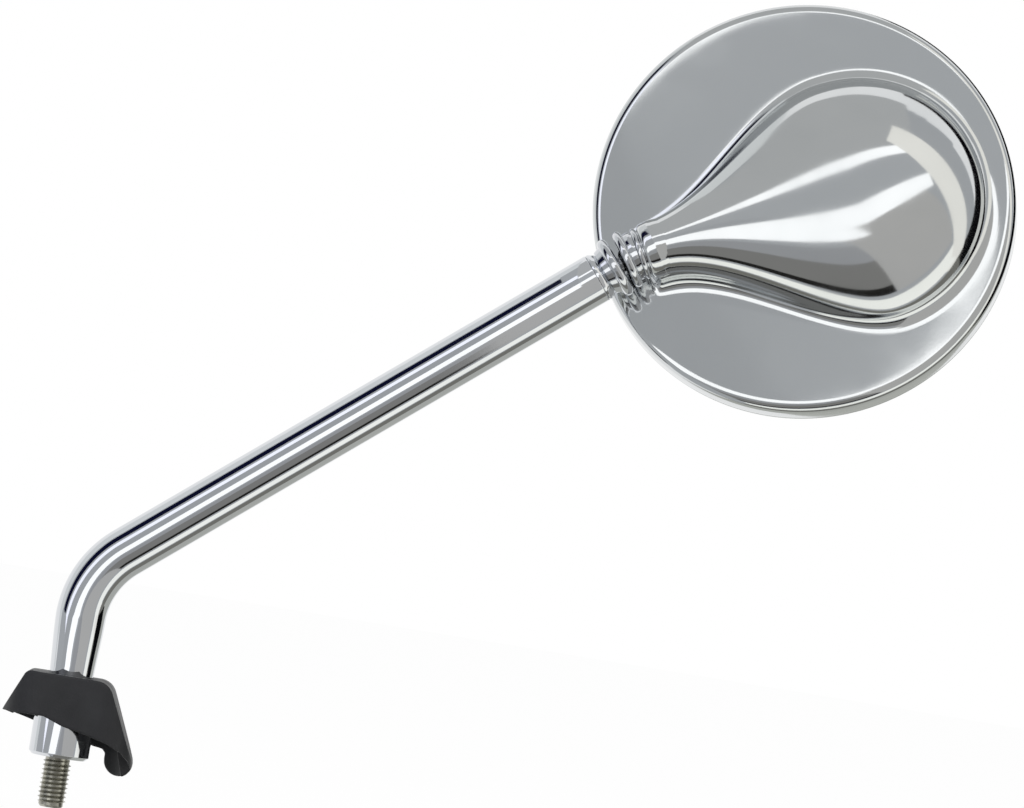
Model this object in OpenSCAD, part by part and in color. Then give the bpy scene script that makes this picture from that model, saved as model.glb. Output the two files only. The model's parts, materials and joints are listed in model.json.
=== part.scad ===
// Round chrome handlebar mirror: a bent tube stem on a threaded stud, a ball joint,
// and a pressed steel head with a teardrop bulge on its back.
// The origin is the middle of the foot collar's lower face, +Z runs up the leg,
// +X leans with the arm towards the head, and the glass faces +Y.

/* [Stud and foot] */
// Radius of the threaded stud
stud_r = 4; // [3:0.5:5]
// Length of the stud below the foot collar
stud_l = 14; // [10:1:40]
// Length of the stud's lead chamfer
stud_chamfer = 1; // [0.5:0.1:1.5]
// Radius of the foot collar
collar_r = 8.4; // [7.8:0.1:9.4]
// Chamfer at the collar's lower edge
collar_chamfer = 0.9; // [0.3:0.1:1.5]
// Depth of the stud's socket in the collar
stud_socket_l = 9; // [6:0.5:11]

/* [Stem] */
// Outer radius of the stem tube
tube_r = 7; // [6.6:0.1:8]
// Wall of the stem tube
tube_wall = 1; // [0.8:0.1:1.5]
// Outer radius of the leg where it enters the cowl
leg_r = 6.1; // [5.6:0.1:6.4]
// Height of the corner where leg and arm axes meet
corner_h = 51.2; // [48:0.1:80]
// Bend radius at the tube's centre line
bend_r = 26; // [20:1:30]
// Angle of the arm above the horizontal
arm_angle = 39.4; // [30:0.1:50]
// Distance from the corner to the ball's centre
arm_l = 175.6; // [120:0.1:220]

/* [Cowl] */
// Height of the cowl's top above the collar's lower face
cowl_h = 23; // [21:0.5:26]
// Half of the cowl's depth, front to back
cowl_half_d = 14; // [12.5:0.5:17]
// Wall of the moulded cowl
cowl_wall = 1.8; // [1.2:0.1:2.4]
// Radius of the cowl's corners, seen from above
cowl_corner_r = 11; // [8:0.5:12]
// Reach of the cowl's sharp edge, away from the head
cowl_back = 17.3; // [16:0.1:22]
// Height of the cowl's sharp lower edge
cowl_edge_h = 10.8; // [8:0.1:13]
// Radius of the tongue's rounded end
tongue_r = 4.2; // [3.4:0.1:4.8]
// Distance of the tongue's end from the stud's axis
tongue_x = 16.4; // [15.5:0.1:18]
// Height of the middle of the tongue's rounded end
tongue_z = 1.2; // [-2:0.1:3]
// Play between the leg and the hole in the cowl
cowl_play = 0.2; // [0.1:0.05:0.4]

/* [Ball joint] */
// Radius of the ball
ball_r = 5; // [4.6:0.1:5.2]
// Radius of the ball's shank
shank_r = 2.4; // [2:0.1:2.6]
// Wall of the nylon seat round the ball
seat_wall = 0.8; // [0.6:0.1:1]
// Wall of the steel socket round the seat
socket_wall = 1; // [0.8:0.1:1.1]
// Running play between faces that turn on each other
running_play = 0.05; // [0.03:0.01:0.08]
// Distance from the ball's centre back to the socket's mouth
socket_mouth = 3.8; // [3.6:0.1:4]
// Distance from the ball's centre to the socket's inner end
socket_l = 14.2; // [13.6:0.1:18]
// Radius of the bead on the dished collar
collar_bead_r = 1.5; // [1.2:0.1:1.8]
// Radius of the bead on the swivel ring
ring_bead_r = 1.25; // [1:0.05:1.3]
// Distance from the ball's centre back to the swivel ring
ring_back = 2.6; // [2.4:0.1:2.8]
// Radius of the bead on the lock ring
lock_bead_r = 0.85; // [0.7:0.05:1]
// Distance from the ball's centre to the lock ring
lock_forward = 1.35; // [1.2:0.05:1.5]
// Wire radius of the joint spring
wire_r = 0.6; // [0.4:0.05:0.7]
// Number of turns of the joint spring
spring_turns = 3; // [2:1:4]
// Thickness of the thrust washer
washer_t = 0.8; // [0.6:0.1:1.2]
// Thickness of the spring plug
plug_t = 3; // [2:0.1:3.4]

/* [Head pose] */
// Angle of the neck above the horizontal
neck_angle = 29.2; // [20:0.1:40]
// Turn of the head about its neck
head_twist = 15.6; // [0:0.1:25]

/* [Head] */
// Radius of the head
head_r = 59; // [58:0.5:66]
// Distance that the rim runs back past the ball's centre
rim_past_ball = 10.4; // [3:0.1:12]
// Height of the neck's axis above the rim's plane
neck_h = 18; // [17:0.1:20]
// Height of the flange round the bulge
flange_h = 7.5; // [6.5:0.1:8]
// Rise of the flange from its edge to the middle
flange_crown = 1.4; // [0:0.1:2]
// Radius rolled on the head's edge
edge_r = 3; // [2:0.1:4]
// Thickness of the sheet metal
sheet = 1; // [0.7:0.1:1.2]
// Radius of the neck's open end
neck_r = 7.75; // [7.5:0.05:8.2]
// Radius of the neck where it runs into the bulge
neck_flare_r = 9; // [8.6:0.1:9.6]
// Length of the neck's flare
neck_l = 7; // [6:0.5:8]
// Distance from the ball's centre to the neck's open end
neck_start = 2.35; // [2.2:0.05:2.6]
// Radius of the bulge's round end
bulge_r = 40; // [36:0.5:41]
// Distance of the bulge's round end from the middle of the head
bulge_shift = 12; // [8:0.5:13]
// Widening of the bulge's flanks for each unit of length
flank_slope = 0.3; // [0.24:0.01:0.4]

/* [Glass and rim] */
// Thickness of the rim bezel's face
bezel_t = 1.2; // [0.8:0.1:1.6]
// Width of the rim bezel's face
bezel_w = 4.2; // [3.6:0.1:6]
// Wall of the rubber gasket
gasket_wall = 1.2; // [0.8:0.1:1.6]
// Thickness of the mirror glass
glass_t = 2.5; // [2:0.1:3]
// Radius of the convex glass surface
glass_curve_r = 1200; // [900:50:2400]
// Thickness of the pad behind the glass
pad_t = 1.6; // [1:0.1:2]

/* [Hidden] */
$fn = 64;
eps = 0.01;
fit_play = 0.1;

chrome = "#c9cccf";
zinc = "#a9aaa2";
steel = "#8f9296";
nylon = "#e9e6da";
black_plastic = "#26282b";
black_rubber = "#1c1c1e";
silver_glass = "#b9cbd6";
grey_foam = "#6d6f72";

// Stud, leg, bend and arm
stud_lead = 0.4;
stud_root_r = stud_r - stud_lead;
bend = 90 - arm_angle;
bend_tangent = bend_r * tan(bend / 2);
bend_z = corner_h - bend_tangent;
bend_lap = 0.05;
ball_at = [arm_l * cos(arm_angle), 0, corner_h + arm_l * sin(arm_angle)];

// Cowl: the collar carries it from inside
cowl_ceiling = cowl_h - cowl_wall;
cowl_front_x = tongue_x + tongue_r;
cowl_heel_x = -10.4;
cowl_heel_r = 2.2;
cowl_heel_lean = 155;
cowl_toe_x = 8;
cowl_toe_r = 5;
cowl_toe_lean = 22;
// Steps of the front wall's lower edge, as parts of the cowl's reach and edge height
cowl_sweep = [[-0.26, 1.02], [0, 0.84], [0.37, 0.7], [0.63, 0.57], [0.83, 0.39], [0.94, 0.19], [1, -0.06]];

// Ball joint, measured from the ball's centre along the arm or the neck
seat_in_r = ball_r + running_play;
seat_out_r = seat_in_r + seat_wall;
socket_in_r = seat_out_r + running_play;
socket_out_r = socket_in_r + socket_wall;
ring_in_r = socket_out_r + 0.1;
ring_mid_r = ring_in_r + 0.1;
ring_reach = norm([ring_back, ring_mid_r]) + ring_bead_r;
dish_r = ring_reach + 0.1;
ferrule_nose = dish_r + 0.05;
web_t = 0.9;
nose_l = 0.9;
ferrule_l = 2.4;
ferrule_base = ferrule_nose + nose_l + ferrule_l;
ferrule_spigot_l = 14;
ferrule_nose_r = 4.4;
shank_l = ferrule_base + 10;
collar_bead_mid = dish_r - 2.25;
collar_bead_ring_r = 7.2;
seat_back = 3;
seat_front = 1;
cup_face = 2.2;
cup_l = 3.8;
cup_play = 0.1;
washer_bore_r = 2.5;
plug_slot_w = 1.4;
plug_slot_d = 1.2;
washer_at = socket_l - plug_t - washer_t;
spring_from = cup_face + cup_l;
spring_l = washer_at - spring_from;
spring_mid_r = socket_in_r - wire_r - 0.35;
lock_groove_r = socket_in_r + 0.55;
lock_ring_r = lock_groove_r + 0.05;
insert_r = neck_r - sheet;
ring_angle = (arm_angle + neck_angle) / 2;

// Head: the pressed sheet is a grid of spokes from the bulge's spine out to the rim
neck_reach = head_r - rim_past_ball;
flange_edge = head_r - edge_r;
neck_end_u = neck_start - neck_reach;
bulge_from = neck_end_u + 2.2;
end_wall_run = 2;
flank_cap = 0.63 * bulge_r;
flank_soft = 10;
crest_h = neck_h + neck_r;
crest_swell = 0.8;
end_spokes = 4;
flank_spokes = 17;
round_spokes = 13;
half_spokes = end_spokes + flank_spokes + round_spokes;
spokes = 2 * half_spokes;
levels = [0.3, 0.55, 0.76, 0.9, 0.975, 1];
wall_foot = 0.4;
foot_fillet = 2;
flange_steps = [0.5, 1];
edge_steps = [30, 60, 90];
rings = len(levels) + 2 + len(flange_steps) + len(edge_steps) + 1;

// Rim, glass and pad, measured from the rim's plane
shell_in_r = head_r - sheet;
bezel_skirt_r = shell_in_r - fit_play;
bezel_skirt_t = 0.8;
bezel_skirt_h = 4;
gasket_out_r = bezel_skirt_r - bezel_skirt_t;
glass_r = gasket_out_r - gasket_wall;
gasket_lip = 1.3;
glass_back = glass_t + 0.4;
gasket_h = glass_back + 0.5;
pad_r = glass_r - gasket_lip - 0.5;
glass_steps = 8;

// Height of the glass's domed face at a distance from its middle
function dome_at(x) = glass_curve_r - sqrt(glass_curve_r * glass_curve_r - x * x);

// A value that runs smoothly from 0 to 1 between two limits
function ease(x, from, to) =
    let (t = min(1, max(0, (x - from) / (to - from)))) t * t * (3 - 2 * t);

// The greater of two values, with the corner between them rounded
function soft_max(a, b, soft) = max(a, b) + pow(max(soft - abs(a - b), 0), 2) / (4 * soft);

// Points along an arc, from one angle to another
function arc(centre, r, from, to, steps = 8) =
    [for (i = [0 : steps]) let (a = from + (to - from) * i / steps)
        centre + r * [cos(a), sin(a)]];

// Half of the bulge's width at a place along its spine
function bulge_half(u) =
    let (round_sq = bulge_r * bulge_r - pow(min(0, u - bulge_shift), 2),
         flank = neck_r + flank_slope * max(0, u - neck_end_u - 1.5))
        soft_max(sqrt(max(0, round_sq)), min(flank, flank_cap), flank_soft);

// Height of the flange's outer face at a distance from the middle of the head
function flange_at(r) = flange_h + flange_crown * (1 - pow(min(1, r / flange_edge), 2));

// Height of the bulge, from its foot or waist at level 1 up to its crest at level 0
function bulge_at(u, level, base, inset) =
    let (waist = base + (neck_h - base) * (1 - ease(u, neck_end_u, 4)),
         crest = crest_h + crest_swell * ease(u, neck_end_u, 0) - inset,
         power = 2 - 0.3 * ease(u, neck_end_u, 20))
        waist + (crest - waist) * pow(max(0, 1 - level * level), 1 / power);

// Place along the spine of a spoke's root, spokes crowding towards the neck
function spine_u(i) =
    let (t = min(1, max(0, (i - end_spokes) / flank_spokes)))
        bulge_from + (bulge_shift - bulge_from) * pow(t, 1.25);

// Where a spoke crosses the bulge's outline, for spokes counted from the neck's end
function outline_at(i, inset) =
    i < end_spokes ? let (a = 180 - 90 * i / end_spokes)
        [bulge_from + (end_wall_run - inset) * cos(a), (bulge_half(bulge_from) - inset) * sin(a)]
    : i <= end_spokes + flank_spokes ? [spine_u(i), bulge_half(spine_u(i)) - inset]
    : let (a = 90 * (half_spokes - i) / round_spokes)
        [bulge_shift + (bulge_r - inset) * cos(a), (bulge_r - inset) * sin(a)];

// One point of the grid in the upper half of the head
function half_point(i, ring, inset) =
    let (root = [spine_u(i), 0], foot = outline_at(i, inset), a = 180 - 180 * i / half_spokes,
         aim = [cos(a), sin(a)], edge = flange_edge * aim, run = (edge - foot) / norm(edge - foot),
         fillet = foot + foot_fillet * run,
         n = len(levels), f = n + 2, e = f + len(flange_steps), g = e + len(edge_steps))
        ring < n ? let (at = root + levels[ring] * (foot - root))
            [at[0], at[1], bulge_at(at[0], levels[ring], flange_at(norm(at)) - inset, inset)]
        : ring == n ? let (at = foot + wall_foot * run)
            [at[0], at[1], flange_at(norm(at)) - inset + wall_foot]
        : ring == n + 1 ? [fillet[0], fillet[1], flange_at(norm(fillet)) - inset]
        : ring < e ? let (at = fillet + flange_steps[ring - f] * (edge - fillet))
            [at[0], at[1], flange_at(norm(at)) - inset]
        : ring < g ? let (a = edge_steps[ring - e], at = (flange_edge + (edge_r - inset) * sin(a)) * aim)
            [at[0], at[1], flange_h - edge_r + (edge_r - inset) * cos(a)]
        : let (at = (head_r - inset) * aim) [at[0], at[1], 0];

// A spoke's number in the upper half, for spokes counted right round the head
function half_number(k) = k <= half_spokes ? k : spokes - k;

// Any point of the grid: the lower half mirrors the upper one
function grid_point(k, ring, inset) =
    let (at = half_point(half_number(k), ring, inset)) [at[0], k <= half_spokes ? at[1] : -at[1], at[2]];

// Points along the spine, on the crest
function spine_point(j, inset) =
    let (u = spine_u(end_spokes + j)) [u, 0, bulge_at(u, 0, flange_at(abs(u)) - inset, inset)];

// Spine point that a spoke starts from
function spine_of(k) = min(flank_spokes, max(0, half_number(k % spokes) - end_spokes));

// Wire of the joint spring: a helix whose first and last half turns lie flat
function helix_height(turn) =
    let (free = spring_turns - 1, t = min(1, max(0, (turn - 0.5) / free)))
        wire_r + (spring_l - 2 * wire_r) * t;

module on_arm() translate(ball_at) rotate([0, bend, 0]) children();

module in_head() translate(ball_at) rotate([0, -neck_angle, 0]) rotate([90 - head_twist, 0, 0])
    children();

module on_neck() in_head() rotate([0, 90, 0]) children();

module in_disc() in_head() translate([neck_reach, 0, -neck_h]) children();

// Space between two heights along a turned piece's axis
module slab(from, to, r = 20) translate([-r, -r, from]) cube([2 * r, 2 * r, to - from]);

// Ring turned about the axis from a round bead
module bead(ring_r, at, bead_r) rotate_extrude() translate([ring_r, at]) circle(bead_r);

module mounting_stud() color(zinc) {
    translate([0, 0, -stud_l + stud_chamfer]) cylinder(r = stud_r, h = stud_l - stud_chamfer);
    translate([0, 0, -eps]) cylinder(r = stud_root_r, h = stud_socket_l + eps);
    cylinder(r1 = stud_r, r2 = stud_root_r, h = stud_lead);
    translate([0, 0, -stud_l]) cylinder(r1 = stud_r - stud_chamfer, r2 = stud_r, h = stud_chamfer);
}

module foot_collar() color(chrome) difference() {
    union() {
        cylinder(r1 = collar_r - collar_chamfer, r2 = collar_r, h = collar_chamfer);
        translate([0, 0, collar_chamfer]) cylinder(r = collar_r, h = cowl_ceiling - collar_chamfer);
    }
    translate([0, 0, -eps]) cylinder(r = stud_root_r, h = stud_socket_l + 2 * eps);
    translate([0, 0, -eps]) cylinder(r1 = stud_r + eps, r2 = stud_root_r, h = stud_lead + eps);
    translate([0, 0, stud_socket_l]) cylinder(r = leg_r + fit_play / 2, h = cowl_ceiling);
}

// Solid body of the stem, less an inset on its radius: the bend swells by eps over the
// straight lengths, which run into it by bend_lap
module stem_solid(inset, over) {
    rotate_extrude() polygon([
        [0, stud_socket_l - over], [leg_r - inset, stud_socket_l - over], [leg_r - inset, cowl_h],
        [tube_r - inset, bend_z], [tube_r - inset, bend_z + bend_lap], [0, bend_z + bend_lap]
    ]);
    translate([bend_r, 0, bend_z]) rotate([90, 0, 0])
        rotate_extrude(angle = bend, start = 180 - bend)
            translate([bend_r, 0]) circle(tube_r + eps - inset);
    on_arm() translate([0, 0, bend_tangent - arm_l - bend_lap])
        cylinder(r = tube_r - inset, h = arm_l - bend_tangent - ferrule_base + bend_lap + over);
}

module stem_tube() color(chrome) difference() {
    stem_solid(0, 0);
    stem_solid(tube_wall, 1);
}

// Side outline of the cowl, less an inset
function cowl_outline(inset) = concat(
    [[-cowl_back + inset * 1.1, cowl_edge_h - (inset > 0 ? tongue_r : 0)]],
    arc([cowl_heel_x, cowl_h - cowl_heel_r], cowl_heel_r - min(cowl_heel_r, inset), cowl_heel_lean, 90),
    arc([cowl_toe_x, cowl_h - cowl_toe_r], cowl_toe_r - inset, 90, cowl_toe_lean),
    inset > 0 ? [[cowl_front_x - inset, -tongue_r - 1]]
              : arc([tongue_x, tongue_z], tongue_r, cowl_toe_lean, -180, 12),
    inset > 0 ? [] : [[tongue_x - tongue_r, tongue_z + 1.6], [tongue_x - tongue_r - 1, tongue_z + 2.6],
                      [collar_r + 0.3, tongue_z + 2.9]]
);

// Outline of the cowl from above, less an inset
module cowl_plan(inset) {
    half = cowl_half_d - inset;
    r = cowl_corner_r - inset;
    from = -cowl_back + inset;
    to = cowl_front_x - inset;
    translate([from, -half + r]) square([to - from, 2 * (half - r)]);
    translate([from + r, -half]) square([to - from - 2 * r, 2 * half]);
    for (x = [from + r, to - r], y = [-half + r, half - r]) translate([x, y]) circle(r);
}

// Cowl's form less an inset: its side outline met by its outline from above
module cowl_form(inset) intersection() {
    rotate([90, 0, 0]) translate([0, 0, -20]) linear_extrude(40) polygon(cowl_outline(inset));
    translate([0, 0, -20]) linear_extrude(60) cowl_plan(inset);
}

module base_cowl() color(black_plastic) difference() {
    cowl_form(0);
    cowl_form(cowl_wall);
    translate([0, 0, cowl_ceiling - 1]) cylinder(r = leg_r + cowl_play, h = 4);
    // The front wall stops along a long sweeping edge, above the tongue
    rotate([90, 0, 0]) linear_extrude(cowl_half_d + 6) polygon([
        [-2 * cowl_back, -cowl_h], [-2 * cowl_back, cowl_edge_h], [-cowl_back, cowl_edge_h],
        for (step = cowl_sweep) [cowl_front_x * step[0], cowl_edge_h * step[1]],
        [cowl_front_x, -cowl_h]
    ]);
}

module end_ferrule() color(chrome) on_arm() difference() {
    union() {
        translate([0, 0, -ferrule_base - ferrule_spigot_l])
            cylinder(r = tube_r - tube_wall - fit_play, h = ferrule_spigot_l + eps);
        translate([0, 0, -ferrule_base]) intersection() {
            cylinder(r = tube_r - 0.1, h = ferrule_l);
            translate([0, 0, -2.6]) sphere(r = tube_r + 0.6);
        }
        translate([0, 0, -ferrule_base]) cylinder(r = ferrule_nose_r, h = ferrule_l + nose_l);
    }
    translate([0, 0, -shank_l]) cylinder(r = shank_r, h = shank_l);
}

module ball_stud() color(steel) on_arm() {
    sphere(r = ball_r);
    translate([0, 0, -shank_l]) cylinder(r = shank_r, h = shank_l - 1);
}

module dished_collar() color(chrome) on_arm() difference() {
    union() {
        bead(collar_bead_ring_r, -collar_bead_mid, collar_bead_r);
        rotate_extrude() polygon([
            [ferrule_nose_r, -ferrule_nose - nose_l], [collar_bead_ring_r - 0.8, -ferrule_nose - nose_l],
            [collar_bead_ring_r, -collar_bead_mid - collar_bead_r + 0.2],
            [collar_bead_ring_r, -collar_bead_mid], [ferrule_nose_r, -ferrule_nose]
        ]);
    }
    sphere(r = dish_r);
}

module swivel_ring() color(chrome) translate(ball_at) rotate([0, 90 - ring_angle, 0]) difference() {
    bead(ring_mid_r, -ring_back, ring_bead_r);
    sphere(r = ring_in_r);
}

module ball_seat() color(nylon) on_neck() difference() {
    intersection() {
        sphere(r = seat_out_r);
        slab(-seat_back, seat_front);
    }
    sphere(r = seat_in_r);
}

module pressure_cup() color(steel) on_neck() difference() {
    translate([0, 0, cup_face]) cylinder(r = socket_in_r - cup_play, h = cup_l);
    sphere(r = seat_in_r);
}

module joint_spring() color(steel) on_neck() translate([0, 0, spring_from]) {
    sides = 8;
    per_turn = 16;
    rings = spring_turns * per_turn;
    points = [for (i = [0 : rings], j = [0 : sides - 1])
        let (a = 360 * i / per_turn, b = 360 * j / sides, r = spring_mid_r + wire_r * cos(b))
            [r * cos(a), r * sin(a), helix_height(i / per_turn) + wire_r * sin(b)]];
    walls = [for (i = [0 : rings - 1], j = [0 : sides - 1])
        let (k = (j + 1) % sides)
            [i * sides + j, i * sides + k, (i + 1) * sides + k, (i + 1) * sides + j]];
    first = [for (j = [sides - 1 : -1 : 0]) j];
    last = [for (j = [0 : sides - 1]) rings * sides + j];
    polyhedron(points, concat([first], walls, [last]), convexity = 6);
}

module thrust_washer() color(steel) on_neck() translate([0, 0, washer_at]) difference() {
    cylinder(r = socket_in_r - cup_play, h = washer_t);
    translate([0, 0, -eps]) cylinder(r = washer_bore_r, h = washer_t + 1);
}

module neck_socket() color(steel) on_neck() difference() {
    union() {
        intersection() {
            sphere(r = socket_out_r);
            slab(-socket_mouth, 0);
        }
        cylinder(r = lock_groove_r, h = neck_start);
        translate([0, 0, neck_start]) cylinder(r = insert_r, h = socket_l - neck_start);
    }
    sphere(r = socket_in_r);
    cylinder(r = socket_in_r, h = socket_l + 1);
}

module lock_ring() color(chrome) on_neck() difference() {
    bead(lock_ring_r + 0.05, lock_forward, lock_bead_r);
    translate([0, 0, lock_forward - 3]) cylinder(r = lock_groove_r, h = 6);
}

module spring_plug() color(zinc) on_neck() difference() {
    translate([0, 0, socket_l - plug_t]) cylinder(r = socket_in_r, h = plug_t);
    translate([-socket_in_r - 1, -plug_slot_w / 2, socket_l - plug_slot_d])
        cube([2 * socket_in_r + 2, plug_slot_w, plug_slot_d + 1]);
}

// The pressed sheet: outer and inner faces over one grid, joined round the rim
module pressed_sheet() {
    spine_n = flank_spokes + 1;
    side_n = spine_n + rings * spokes;
    function spot(side, ring, k) = side * side_n + spine_n + ring * spokes + k % spokes;
    function turned(side, tri) = side == 0 ? tri : [tri[0], tri[2], tri[1]];
    points = [for (inset = [0, sheet]) each concat(
        [for (j = [0 : flank_spokes]) spine_point(j, inset)],
        [for (ring = [0 : rings - 1], k = [0 : spokes - 1]) grid_point(k, ring, inset)])];
    top = [for (side = [0, 1], k = [0 : spokes - 1])
        let (here = side * side_n + spine_of(k), next = side * side_n + spine_of(k + 1),
             a = spot(side, 0, k), b = spot(side, 0, k + 1))
            each concat([turned(side, [here, a, b])], here == next ? [] : [turned(side, [here, b, next])])];
    skin = [for (side = [0, 1], ring = [0 : rings - 2], k = [0 : spokes - 1])
        let (a = spot(side, ring, k), b = spot(side, ring, k + 1),
             c = spot(side, ring + 1, k), d = spot(side, ring + 1, k + 1))
            each [turned(side, [a, c, d]), turned(side, [a, d, b])]];
    rim = [for (k = [0 : spokes - 1])
        let (a = spot(0, rings - 1, k), b = spot(0, rings - 1, k + 1),
             c = spot(1, rings - 1, k), d = spot(1, rings - 1, k + 1))
            each [[a, c, d], [a, d, b]]];
    polyhedron(points, concat(top, skin, rim), convexity = 8);
}

module back_shell() color(chrome) in_disc() difference() {
    union() {
        pressed_sheet();
        translate([neck_end_u, 0, neck_h]) rotate([0, 90, 0])
            cylinder(r1 = neck_r, r2 = neck_flare_r, h = neck_l);
    }
    translate([neck_end_u - 1, 0, neck_h]) rotate([0, 90, 0]) cylinder(r = insert_r, h = 30);
}

module rim_bezel() color(chrome) in_disc() rotate_extrude($fn = 96) {
    translate([head_r - bezel_w, -bezel_t]) square([bezel_w - bezel_t / 2, bezel_t]);
    translate([head_r - bezel_t / 2, -bezel_t / 2]) circle(bezel_t / 2);
    translate([bezel_skirt_r - bezel_skirt_t, -eps]) square([bezel_skirt_t, bezel_skirt_h + eps]);
}

module glass_gasket() color(black_rubber) in_disc() rotate_extrude($fn = 96) difference() {
    translate([glass_r - gasket_lip, 0]) square([gasket_out_r - glass_r + gasket_lip, gasket_h]);
    translate([0, glass_back - glass_t - 0.1]) square([glass_r, glass_t + 0.1]);
}

// The glass: flat behind, and its mirror face a shallow dome
module mirror_glass() color(silver_glass) in_disc() rotate_extrude($fn = 96) polygon(concat(
    [[0, glass_back], [glass_r, glass_back]],
    [for (i = [glass_steps : -1 : 0]) let (x = glass_r * i / glass_steps)
        [x, glass_back - glass_t - dome_at(glass_r) + dome_at(x)]]
));

module backing_pad() color(grey_foam) in_disc() translate([0, 0, glass_back])
    cylinder(r = pad_r, h = pad_t, $fn = 96);

mounting_stud();
foot_collar();
stem_tube();
base_cowl();
end_ferrule();
ball_stud();
dished_collar();
swivel_ring();
ball_seat();
pressure_cup();
joint_spring();
thrust_washer();
neck_socket();
lock_ring();
spring_plug();
back_shell();
rim_bezel();
glass_gasket();
mirror_glass();
backing_pad();
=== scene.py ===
"""Round chrome scooter mirror: finishes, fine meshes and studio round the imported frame.

All sizes are in millimetres until a mesh is placed; Blender's objects are in metres.
"""

from __future__ import annotations

import json
import logging
import math
from dataclasses import dataclass
from enum import Enum
from typing import Sequence

import bmesh
import bpy
from bpy.types import ID, Material, Mesh, Node, NodeSocket, NodeTree, Object, World
from mathutils import Matrix, Vector

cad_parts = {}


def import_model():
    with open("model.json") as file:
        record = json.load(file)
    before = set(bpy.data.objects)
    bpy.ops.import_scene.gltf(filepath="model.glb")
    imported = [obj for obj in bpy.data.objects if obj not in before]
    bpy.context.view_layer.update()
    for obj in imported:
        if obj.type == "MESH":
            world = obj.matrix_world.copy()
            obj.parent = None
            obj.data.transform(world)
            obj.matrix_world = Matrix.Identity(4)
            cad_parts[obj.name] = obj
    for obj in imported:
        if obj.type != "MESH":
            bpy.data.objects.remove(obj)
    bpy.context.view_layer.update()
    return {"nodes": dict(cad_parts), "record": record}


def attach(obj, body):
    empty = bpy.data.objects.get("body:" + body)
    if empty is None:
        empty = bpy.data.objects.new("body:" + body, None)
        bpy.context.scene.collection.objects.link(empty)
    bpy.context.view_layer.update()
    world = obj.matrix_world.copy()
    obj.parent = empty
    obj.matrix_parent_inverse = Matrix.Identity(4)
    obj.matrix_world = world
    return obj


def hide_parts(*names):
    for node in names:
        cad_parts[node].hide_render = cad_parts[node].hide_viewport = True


LOG = logging.getLogger("mirror")
MM = 0.001
SIDEWAYS = Vector((0, 1, 0))
WELD = 2e-6
SLIVER = 1e-6
Point2 = tuple[float, float]


class Body(Enum):
    """The moving bodies of the ball joint, from the foot outwards."""

    STEM = "stem"
    RING = "ring"
    SEAT = "seat"
    HEAD = "head"


class Slot(Enum):
    """The record's material slots."""

    STEM = "chrome_stem"
    HEAD = "chrome_head"
    RINGS = "chrome_rings"
    ZINC = "zinc_plate"
    STEEL = "bare_steel"
    SPRING = "spring_steel"
    COWL = "cowl_plastic"
    NYLON = "seat_nylon"
    RUBBER = "gasket_rubber"
    GLASS = "mirror_glass"
    FOAM = "foam_pad"


def linear(hex_colour: str) -> tuple[float, float, float, float]:
    """Turns an sRGB hex colour into Blender's linear colour.

    Args:
        hex_colour: six hex digits after a hash.

    Returns:
        Red, green, blue and alpha, each from 0 to 1.
    """
    parts = [int(hex_colour[i : i + 2], 16) / 255 for i in (1, 3, 5)]
    red, green, blue = [c / 12.92 if c <= 0.04045 else ((c + 0.055) / 1.055) ** 2.4 for c in parts]
    return red, green, blue, 1.0


def blank(block: Material | World) -> NodeTree:
    """Gives the emptied node tree of a new material or world."""
    block.use_nodes = True
    block.node_tree.nodes.clear()
    return block.node_tree


def add_node(
    tree: NodeTree, kind: str, inputs: dict[str | int, object] | None = None, **settings: object
) -> Node:
    """Adds one node with its settings, and with values or links on its inputs.

    Args:
        tree: the node tree that takes the node.
        kind: the node's type.
        inputs: a value, or an output socket to link, for each named or numbered input.
        settings: attributes of the node.

    Returns:
        The new node.
    """
    node = tree.nodes.new(kind)
    for key, value in settings.items():
        setattr(node, key, value)
    for key, value in (inputs or {}).items():
        if isinstance(value, NodeSocket):
            tree.links.new(value, node.inputs[key])
        else:
            node.inputs[key].default_value = value
    return node


def maths(
    tree: NodeTree, operation: str, first: object, second: object, clamp: bool = False
) -> NodeSocket:
    """Adds a maths node on two values or sockets, and gives its result."""
    node = add_node(tree, "ShaderNodeMath", {0: first, 1: second}, operation=operation, use_clamp=clamp)
    return node.outputs[0]


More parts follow.
